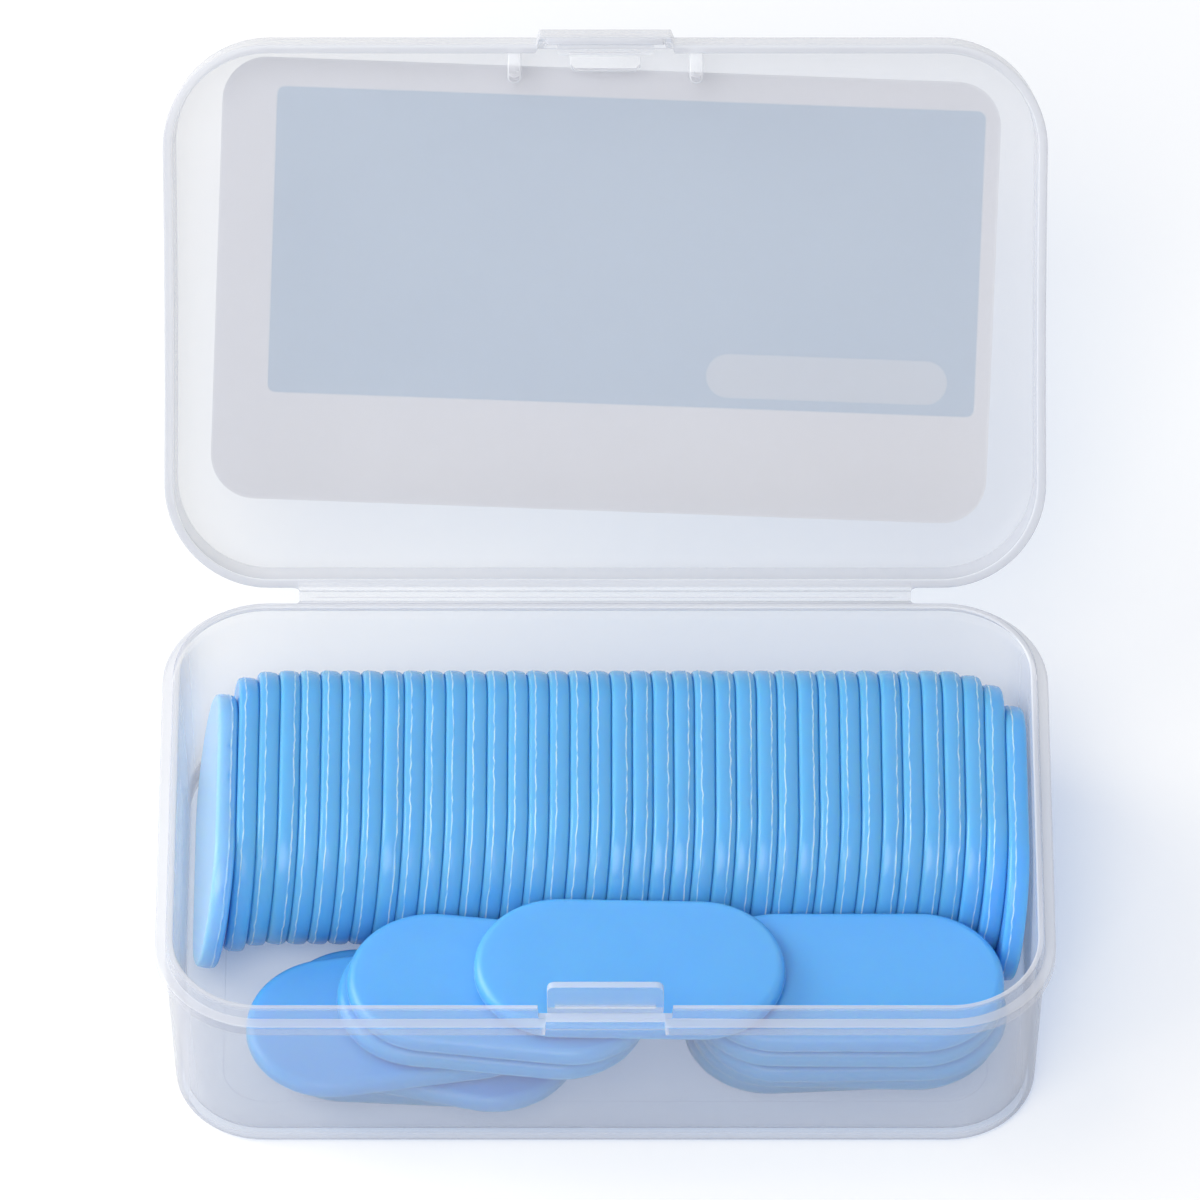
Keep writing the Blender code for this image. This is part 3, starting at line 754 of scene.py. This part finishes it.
def make_film():
    """The thin web from the tray's leaf to the lid's."""
    from_tray = Vector((0.0, BACK + LEAF_REACH - FILM_OVERLAP, LEDGE_HEIGHT - FILM_SEAT))
    shut = Vector((0.0, BACK + LEAF_REACH - FILM_OVERLAP, RIM + FILM_SEAT))
    to_lid = SWING @ shut
    dip = HINGE + FILM_DIP
    shape = bmesh.new()
    bmesh.ops.create_grid(shape, x_segments=60, y_segments=24, size=1.0)
    depth = shape.verts.layers.float.new("depth")
    for corner in shape.verts:
        share = (corner.co.y + 1) / 2
        in_groove = abs(share - 0.5) < GROOVE_HALF and abs(corner.co.x) < GROOVE_SHARE
        # Painted shade of the groove.
        corner[depth] = GROOVE_SHADE_DEPTH if in_groove else FILM_DEPTH
        spot = (1 - share) ** 2 * from_tray + 2 * share * (1 - share) * dip + share**2 * to_lid
        corner.co = (corner.co.x * HINGE_HALF, spot.y, spot.z)
    bmesh.ops.recalc_face_normals(shape, faces=shape.faces)
    bmesh.ops.solidify(shape, geom=shape.faces[:], thickness=FILM_THICKNESS)
    bmesh.ops.recalc_face_normals(shape, faces=shape.faces)
    film = finished("hinge_film", shape, plastic, None, "living_hinge")
    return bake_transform(film, "tray", "lid", start=from_tray, end=to_lid)


film = make_film()
print(film.name, len(film.data.polygons), "faces")

# %% [markdown]
# ## Clasp tongue
#
# A springy tongue stands up out of the tray's lip, with a wedge on its front that rides over the lid's bead
# and catches behind it. It is a thin block with round corners and a second block whose upper front edge is
# pushed down into a ramp.

# %% Clasp tongue
tongue_low, tongue_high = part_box("clasp_tongue")
TONGUE_HALF = tongue_high.x
TONGUE_THICKNESS = 1.2 * MM
TONGUE_CORNER, TONGUE_ROUND = 1.1 * MM, 0.2 * MM
WEDGE_SUNK, WEDGE_ROUND, WEDGE_CLEAR = 0.4 * MM, 0.25 * MM, 0.1 * MM
WEDGE_HALF = 7.15 * MM
# Pairs are plastic depth and painted highlight: a white line along the wedge's lower edge, a paler ramp and
# face, and a paler top, sides and foot of the tongue.
WEDGE_HIGHLIGHT_LINE, WEDGE_RAMP_HIGHLIGHT, WEDGE_FACE_HIGHLIGHT = (1.0, 1.0), (0.4, 0.2), (0.3, 0.3)
TONGUE_TOP_HIGHLIGHT, TONGUE_SIDE_HIGHLIGHT, TONGUE_FOOT_HIGHLIGHT = (0.8, 0.4), (0.7, 0.6), (0.7, 0.3)
TONGUE_TURN, RAMP_TURN = 0.6, 0.2
WEDGE_FOOT = LEDGE_HEIGHT + 2.3 * MM
WEDGE_CREST = LEDGE_HEIGHT + 2.8 * MM


def tongue_marks(corner):
    """A deep top edge with painted highlights: paler top, sides and ramp, and a white line along the wedge's
    lower edge.
    """
    up = corner.normal.z
    on_wedge = corner.co.y < tongue_high.y - TONGUE_THICKNESS - WEDGE_CLEAR
    if up < -TONGUE_TURN:
        return WEDGE_HIGHLIGHT_LINE if on_wedge else TONGUE_FOOT_HIGHLIGHT
    if on_wedge:
        return WEDGE_RAMP_HIGHLIGHT if up > RAMP_TURN else WEDGE_FACE_HIGHLIGHT
    if abs(corner.normal.x) > TONGUE_TURN:
        return TONGUE_SIDE_HIGHLIGHT
    return TONGUE_TOP_HIGHLIGHT if up > TONGUE_TURN else CLEAR


def make_tongue():
    """Tongue and wedge in one."""
    face = tongue_high.y - TONGUE_THICKNESS
    plate = block((-TONGUE_HALF, TONGUE_HALF), (face, tongue_high.y), (tongue_low.z, tongue_high.z))
    corners = [
        e
        for e in plate.edges
        if all(v.co.z > WEDGE_FOOT for v in e.verts) and abs(e.verts[0].co.y - e.verts[1].co.y) > NEARBY
    ]
    rounded(plate, corners, TONGUE_CORNER, 6)
    rounded(plate, [e for e in plate.edges if e.calc_face_angle() > SHARP], TONGUE_ROUND, 3)
    wedge_top = tongue_high.z - WEDGE_ROUND
    wedge_root = face + WEDGE_SUNK
    wedge = block((-WEDGE_HALF, WEDGE_HALF), (tongue_low.y, wedge_root), (WEDGE_FOOT, wedge_top))
    crest = [v for v in wedge.verts if v.co.y < face and v.co.z > WEDGE_CREST]
    bmesh.ops.translate(wedge, verts=crest, vec=(0.0, 0.0, WEDGE_CREST - wedge_top))
    rounded(wedge, [e for e in wedge.edges if all(v.co.y < face for v in e.verts)], WEDGE_ROUND, 4)
    shape = joined(plate, wedge)
    mark_plastic(shape, tongue_marks)
    return finished("tongue", shape, plastic, "clasp_tongue", "clasp_tongue")


tongue = make_tongue()
print(tongue.name, len(tongue.data.polygons), "faces")

# %% [markdown]
# ## Label
#
# A paper label is stuck on the outside of the lid, a little askew. From the front it is seen through the
# lid, so its grey back shows with the print's blue field shining through. The print is a plain blue field
# and an empty white panel, drawn from a UV map that is measured in millimetres from the label's middle.

# %% Label materials
LABEL_LENGTH = 113.5 * MM
LABEL_DEPTH = 65.0 * MM
LABEL_RADIUS = 6.5 * MM
# A thin painted highlight runs round the label's edge.
LABEL_EDGE_HIGHLIGHT = "#FCFCFD"
LABEL_HIGHLIGHT_WIDTH = 0.25 * MM
FIELD_LEFT, FIELD_RIGHT = -48.8 * MM, 54.5 * MM
FIELD_FRONT, FIELD_BACK = -28.3 * MM, 16.7 * MM
PANEL_MIDDLE = (32.8 * MM, 11.9 * MM)
PANEL_HALF = (17.6 * MM, 3.2 * MM)
# Paper fibres are finer than a pixel, so they are drawn coarser
FIBRE = 0.5 * MM
FIELD_RADIUS = 1.2 * MM


def box_mask(tree, place, middle, half, radius, soft):
    """A round-cornered box on a map in metres: 1 inside, 0 outside."""
    centred = add_node(tree, "ShaderNodeVectorMath", {0: place, 1: (*middle, 0.0)}, operation="SUBTRACT")
    folded = add_node(tree, "ShaderNodeVectorMath", {0: centred.outputs["Vector"]}, operation="ABSOLUTE")
    inner = (half[0] - radius, half[1] - radius, 0.0)
    spread = {0: folded.outputs["Vector"], 1: inner}
    past = add_node(tree, "ShaderNodeVectorMath", spread, operation="SUBTRACT")
    over = add_node(
        tree, "ShaderNodeVectorMath", {0: past.outputs["Vector"], 1: (0.0, 0.0, 0.0)}, operation="MAXIMUM"
    )
    away = add_node(tree, "ShaderNodeVectorMath", {0: over.outputs["Vector"]}, operation="LENGTH")
    limits = {"From Min": radius - soft, "From Max": radius + soft, "To Min": 1.0, "To Max": 0.0}
    mask = add_node(tree, "ShaderNodeMapRange", {"Value": away.outputs["Value"], **limits})
    return mask.outputs["Result"]


def label_paper(name, paper, ink, panel, soft):
    """Coated paper with the print's field, its empty panel and a painted highlight round its edge."""
    material, tree, surface = new_material(name)
    place = add_node(tree, "ShaderNodeUVMap", uv_map="label_plane").outputs["UV"]
    field_middle = ((FIELD_LEFT + FIELD_RIGHT) / 2, (FIELD_FRONT + FIELD_BACK) / 2)
    field_half = ((FIELD_RIGHT - FIELD_LEFT) / 2, (FIELD_BACK - FIELD_FRONT) / 2)
    field = box_mask(tree, place, field_middle, field_half, FIELD_RADIUS, soft)
    pill = box_mask(tree, place, PANEL_MIDDLE, PANEL_HALF, PANEL_HALF[1], soft)
    fibres = add_node(tree, "ShaderNodeTexNoise", {"Vector": place, "Scale": 1 / FIBRE, "Detail": 3.0})
    base = add_node(
        tree, "ShaderNodeMix", {"Factor": field, "A": colour(paper), "B": colour(ink)}, data_type="RGBA"
    )
    printed = add_node(
        tree,
        "ShaderNodeMix",
        {"Factor": pill, "A": base.outputs["Result"], "B": colour(panel)},
        data_type="RGBA",
    )
    # Width of the painted highlight round the edge.
    highlight_width = LABEL_HIGHLIGHT_WIDTH
    sheet_half = (LABEL_LENGTH / 2 - highlight_width, LABEL_DEPTH / 2 - highlight_width)
    sheet = box_mask(tree, place, (0.0, 0.0), sheet_half, LABEL_RADIUS - highlight_width, soft)
    whole = add_node(
        tree,
        "ShaderNodeMix",
        {"Factor": sheet, "A": colour(LABEL_EDGE_HIGHLIGHT), "B": printed.outputs["Result"]},
        data_type="RGBA",
    )
    bump = add_node(
        tree, "ShaderNodeBump", {"Strength": 0.1, "Distance": 0.02 * MM, "Height": fibres.outputs["Fac"]}
    )
    shader = add_node(
        tree,
        "ShaderNodeBsdfPrincipled",
        {
            "Base Color": whole.outputs["Result"],
            "Roughness": 0.55,
            "IOR": 1.45,
            "Normal": bump.outputs["Normal"],
        },
    )
    tree.links.new(shader.outputs["BSDF"], surface)
    return material


label_front = label_paper("coated_label_paper", "#E4E6EA", "#6CADE0", "#E9EBEE", 0.05 * MM)
label_back = label_paper("label_adhesive_side", "#F6F5F7", "#CBDAE9", "#E3E8EF", 0.12 * MM)
print("materials:", label_front.name, label_back.name)

# %% Label
LABEL_THICKNESS = 0.15 * MM
LABEL_SHIFT = 2.3 * MM
LABEL_TURN = math.radians(2.1)
LABEL_GAP = 0.06 * MM


def make_label():
    """A round-cornered sheet on the shut lid's panel, swung open with it."""
    shape = bmesh.new()
    sheet = Matrix.Diagonal((LABEL_LENGTH / 2, LABEL_DEPTH / 2, 1.0, 1.0))
    bmesh.ops.create_grid(shape, x_segments=1, y_segments=1, size=1.0, matrix=sheet)
    bmesh.ops.bevel(
        shape,
        geom=shape.verts[:],
        offset=LABEL_RADIUS,
        offset_type="OFFSET",
        segments=10,
        profile=0.5,
        affect="VERTICES",
        clamp_overlap=True,
        material=-1,
    )
    top = bmesh.ops.extrude_face_region(shape, geom=shape.faces[:])["geom"]
    bmesh.ops.translate(
        shape, verts=[g for g in top if isinstance(g, bmesh.types.BMVert)], vec=(0.0, 0.0, LABEL_THICKNESS)
    )
    bmesh.ops.recalc_face_normals(shape, faces=shape.faces)
    plane = shape.loops.layers.uv.new("label_plane")
    for face in shape.faces:
        face.material_index = 0 if face.normal.z > -0.5 else 1
        for loop in face.loops:
            loop[plane].uv = loop.vert.co.xy
    middle = Matrix.Translation((0.0, -LABEL_SHIFT, PANEL + LABEL_GAP))
    bmesh.ops.transform(shape, matrix=SWING @ middle @ Matrix.Rotation(LABEL_TURN, 4, "Z"), verts=shape.verts)
    label = finished("label", shape, label_front, "lid", "lid_label")
    label.data.materials.append(label_back)
    return label


label = make_label()
print(label.name, len(label.data.polygons), "faces")

# %% [markdown]
# ## Wax plates
#
# Fifty plates of one pattern: a stadium with soft edges, moulded in two halves that leave a wavering flash
# line off the middle of the edge. The profile of the edge is pushed along the straights and spun through
# the round ends. Each plate has its own mesh, because its flash wanders its own way. Its place comes from
# the frame's solid, whose longest, middle and shortest directions are found from the spread of its
# vertices.

# %% Plate pattern
PLATE_LENGTH = 44.5 * MM
PLATE_WIDTH = 24.4 * MM
STANDING_HALF, STANDING_EDGE, STANDING_FLASH = 1.48 * MM, 0.45 * MM, 1.0
LYING_HALF, LYING_EDGE, LYING_FLASH = 1.60 * MM, 1.10 * MM, 0.35
PLATE_CROWN = 0.26 * MM
FLASH_OFFSET = 0.56 * MM
FLASH_HALF = 0.15 * MM
FLASH_HEIGHT = 0.09 * MM
FLASH_WANDER = 0.14 * MM
FLASH_WAVE = 2.6 * MM
FLASH_SEED_STEP = 7.3
RIPPLE_SIZE, RIPPLE_RATE = 0.8, 3.1
WORN_MEAN, WORN_SPREAD, WORN_LEAST = 0.75, 1.1, 0.2
WORN_RATE, WORN_PLACE = 2.0, Vector((5.0, 0.0, 0.0))
END_STEPS = 44
STRAIGHT_STEPS = 40


def edge_inset(height, half, edge):
    """How far the plate's edge is drawn in at one height, on its rounded profile."""
    past = max(0.0, abs(height) - (half - edge)) / edge
    return edge * (1.0 - math.sqrt(max(0.0, 1.0 - past**2))) + PLATE_CROWN * (height / half) ** 2


def plate_profile(half, edge):
    """Heights up the edge, with three for the flash, which sits below the middle."""
    round_part = [edge * math.sin(math.radians(turn)) for turn in (0, 18, 36, 52, 66, 78, 90)]
    upper = [share * (half - edge) for share in (0.3, 0.65)]
    upper += [half - edge + rise for rise in round_part]
    lower = [-height for height in reversed(upper)]
    flash = [-FLASH_OFFSET - FLASH_HALF, -FLASH_OFFSET, -FLASH_OFFSET + FLASH_HALF]
    clear = [h for h in lower + upper if abs(h + FLASH_OFFSET) > 1.4 * FLASH_HALF]
    return sorted(clear + flash)


def plate_shape(seed, half, edge, pale):
    """One plate lying flat, its middle at the origin, with its flash marked and wandering."""
    shape = bmesh.new()
    bruise_and_sheen = shape.verts.layers.float.new("flash")
    straight = PLATE_LENGTH - PLATE_WIDTH
    chain = []
    for height in plate_profile(half, edge):
        on_flash = abs(height + FLASH_OFFSET) < WELD
        reach = PLATE_WIDTH / 2 - edge_inset(height, half, edge) + (FLASH_HEIGHT if on_flash else 0.0)
        corner = shape.verts.new((-straight / 2, -reach, height))
        corner[bruise_and_sheen] = 1.0 if on_flash else 0.0
        chain.append(corner)
    chain = [shape.edges.new(pair) for pair in zip(chain, chain[1:])]
    for direction in (1, -1):
        for _ in range(STRAIGHT_STEPS):
            chain = pushed(shape, chain, (direction * straight / STRAIGHT_STEPS, 0.0, 0.0))
        chain = spun(shape, chain, (direction * straight / 2, 0.0), END_STEPS, math.pi)
    bmesh.ops.remove_doubles(shape, verts=shape.verts, dist=WELD)
    bmesh.ops.holes_fill(shape, edges=[e for e in shape.edges if e.is_boundary], sides=0)
    bmesh.ops.recalc_face_normals(shape, faces=shape.faces)
    for corner in shape.verts:
        if abs(corner.co.z + FLASH_OFFSET) < 1.1 * FLASH_HALF:
            spot = Vector((corner.co.x / FLASH_WAVE, corner.co.y / FLASH_WAVE, FLASH_SEED_STEP * seed))
            shift = noise.noise(spot) + RIPPLE_SIZE * noise.noise(RIPPLE_RATE * spot)
            corner.co.z += FLASH_WANDER * shift
            if corner[bruise_and_sheen]:
                worn = WORN_MEAN + WORN_SPREAD * noise.noise(WORN_RATE * spot + WORN_PLACE)
                corner[bruise_and_sheen] = pale * min(1.0, max(WORN_LEAST, worn))
    return shape


# %% Plates in their places
OUTER_PLATE = "wax_plate_01"
# A painted sheen, for light from the left and a glancing reflection, on the outer plate's left face.
LEFT_FACE_SHEEN, SHEEN_TURN = 0.47, 0.75
LYING_SEED = 60
FLIPPED = (1, 4, 9, 20, 21, 22, 23, 25, 26, 27, 29, 33, 35, 36, 37)


def plate_place(node):
    """The matrix from a flat plate at the origin to a solid of the frame."""
    corners = np.array([v.co for v in frame["nodes"][node].data.vertices])
    low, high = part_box(node)
    _, axes = np.linalg.eigh(np.cov(corners.T))
    thin, wide, long = (Vector(axes[:, i]) for i in range(3))
    long = long if long.x + long.y > 0 else -long
    thin = thin if thin.x + thin.z > 0 else -thin
    wide = thin.cross(long)
    turn = Matrix((long, wide, thin)).transposed().to_4x4()
    return Matrix.Translation((low + high) / 2) @ turn


def paint_left_face_sheen(shape):
    """Paint a pale sheen on the side of a plate that faces left, for light and a glancing reflection, fading
    out round its edge.
    """
    bruise_and_sheen = shape.verts.layers.float["flash"]
    shape.normal_update()
    for corner in shape.verts:
        turned_left = min(1.0, max(0.0, SHEEN_TURN - corner.normal.x))
        corner[bruise_and_sheen] = max(corner[bruise_and_sheen], LEFT_FACE_SHEEN * turned_left)


def make_plate(node, seed):
    """One plate of wax where the frame has its solid."""
    place = plate_place(node)
    stands = node.startswith("wax_plate")
    if stands and seed in FLIPPED:
        place = place @ Matrix.Rotation(math.pi, 4, "X")
    if stands:
        shape = plate_shape(seed, STANDING_HALF, STANDING_EDGE, STANDING_FLASH)
    else:
        shape = plate_shape(seed, LYING_HALF, LYING_EDGE, LYING_FLASH)
    bmesh.ops.transform(shape, matrix=place, verts=shape.verts)
    # The outer plate gets its painted sheen.
    if node == OUTER_PLATE:
        paint_left_face_sheen(shape)
    body = node if node in frame["bodies"] else "tray"
    return finished(node.replace("plate", "blank"), shape, wax, body, node)


plate_nodes = sorted(node for node in frame["nodes"] if "plate" in node)
standing = [node for node in plate_nodes if node.startswith("wax_plate")]
plates = [make_plate(node, number + 1) for number, node in enumerate(standing)]
lying = [(number, node) for number, node in enumerate(plate_nodes) if node not in standing]
plates += [make_plate(node, LYING_SEED + number) for number, node in lying]
print(len(plates), "plates of", len(plates[0].data.polygons), "faces")

# %% [markdown]
# ## Floor, world and light
#
# A white sweep under soft light. The floor and the world are white to the eye and through the plastic,
# while the light that falls on the box stays at a plain level, so the wax keeps the colour it is given. To
# the eye the floor is part glow and part shade: where light is missing, the warm half goes first and a
# bluish shade is left. One large soft lamp stands behind the box on its left and throws that shade forward
# to the right. A second one over the front lights the lid and the tops of the plates.

# %% Floor
FLOOR_SIZE = 2.0
FLOOR_GAP = 0.02 * MM
FLOOR_WHITE = "#F4F6FA"
FLOOR_SHADED = "#E2D4B2"
FLOOR_GLOW = "#8AA1C8"


def seen_directly(tree):
    """1 for a ray from the camera, or one that a mirror or clear glass sends on, and 0 for light."""
    path = add_node(tree, "ShaderNodeLightPath").outputs
    mirrored = {0: path["Is Camera Ray"], 1: path["Is Glossy Ray"]}
    seen = add_node(tree, "ShaderNodeMath", mirrored, operation="MAXIMUM")
    through = {0: seen.outputs["Value"], 1: path["Is Transmission Ray"]}
    return add_node(tree, "ShaderNodeMath", through, operation="MAXIMUM").outputs["Value"]


def make_floor():
    """A wide plane, not part of the object, that is white where nothing shades it."""
    shape = bmesh.new()
    below = Matrix.Translation((0.0, 0.0, -FLOOR_GAP))
    bmesh.ops.create_grid(shape, x_segments=1, y_segments=1, size=FLOOR_SIZE, matrix=below)
    mesh = bpy.data.meshes.new("floor")
    shape.to_mesh(mesh)
    shape.free()
    floor = bpy.data.objects.new("floor", mesh)
    bpy.context.scene.collection.objects.link(floor)
    material, tree, surface = new_material("white_sweep")
    seen = seen_directly(tree)
    matt = add_node(tree, "ShaderNodeBsdfDiffuse", {"Color": colour(FLOOR_WHITE)})
    shaded = add_node(tree, "ShaderNodeBsdfDiffuse", {"Color": colour(FLOOR_SHADED)})
    glow = add_node(tree, "ShaderNodeEmission", {"Color": colour(FLOOR_GLOW), "Strength": 1.0})
    white = add_node(tree, "ShaderNodeAddShader", {0: shaded.outputs[0], 1: glow.outputs[0]})
    mixed = add_node(tree, "ShaderNodeMixShader", {0: seen, 1: matt.outputs[0], 2: white.outputs[0]})
    tree.links.new(mixed.outputs[0], surface)
    mesh.materials.append(material)
    return floor


print(make_floor().name, "below", round(tray_low.z, 4))

# %% World and lamps
SKY_LEVEL = 0.45
SKY_WHITE = "#FCFDFF"
LAMP_SIZE = 0.9
LAMPS = (
    ("side_lamp", Vector((-0.95, 0.28, 0.52)), 8.6),
    ("top_lamp", Vector((-0.25, -0.75, 1.05)), 9.2),
)


def make_world():
    """A soft white surround: plain light for the object, pure white for the eye."""
    world = bpy.data.worlds.new("soft_studio")
    bpy.context.scene.world = world
    world.use_nodes = True
    tree = world.node_tree
    tree.nodes.clear()
    output = add_node(tree, "ShaderNodeOutputWorld")
    light = add_node(tree, "ShaderNodeBackground", {"Color": colour(SKY_WHITE), "Strength": SKY_LEVEL})
    white = add_node(tree, "ShaderNodeBackground", {"Color": colour("#FFFFFF"), "Strength": 1.0})
    shown = {0: seen_directly(tree), 1: light.outputs[0], 2: white.outputs[0]}
    mixed = add_node(tree, "ShaderNodeMixShader", shown)
    tree.links.new(mixed.outputs[0], output.inputs["Surface"])


def make_lamp(name, place, power):
    """One large soft box that faces the box."""
    data = bpy.data.lights.new(name, "AREA")
    data.energy = power
    data.shape = "DISK"
    data.size = LAMP_SIZE
    lamp = bpy.data.objects.new(name, data)
    lamp.location = place
    lamp.rotation_euler = (-place).to_track_quat("-Z", "Y").to_euler()
    bpy.context.scene.collection.objects.link(lamp)


make_world()
for lamp in LAMPS:
    make_lamp(*lamp)
    print(lamp[0], lamp[2], "W")
bpy.context.scene.view_settings.view_transform = "Standard"
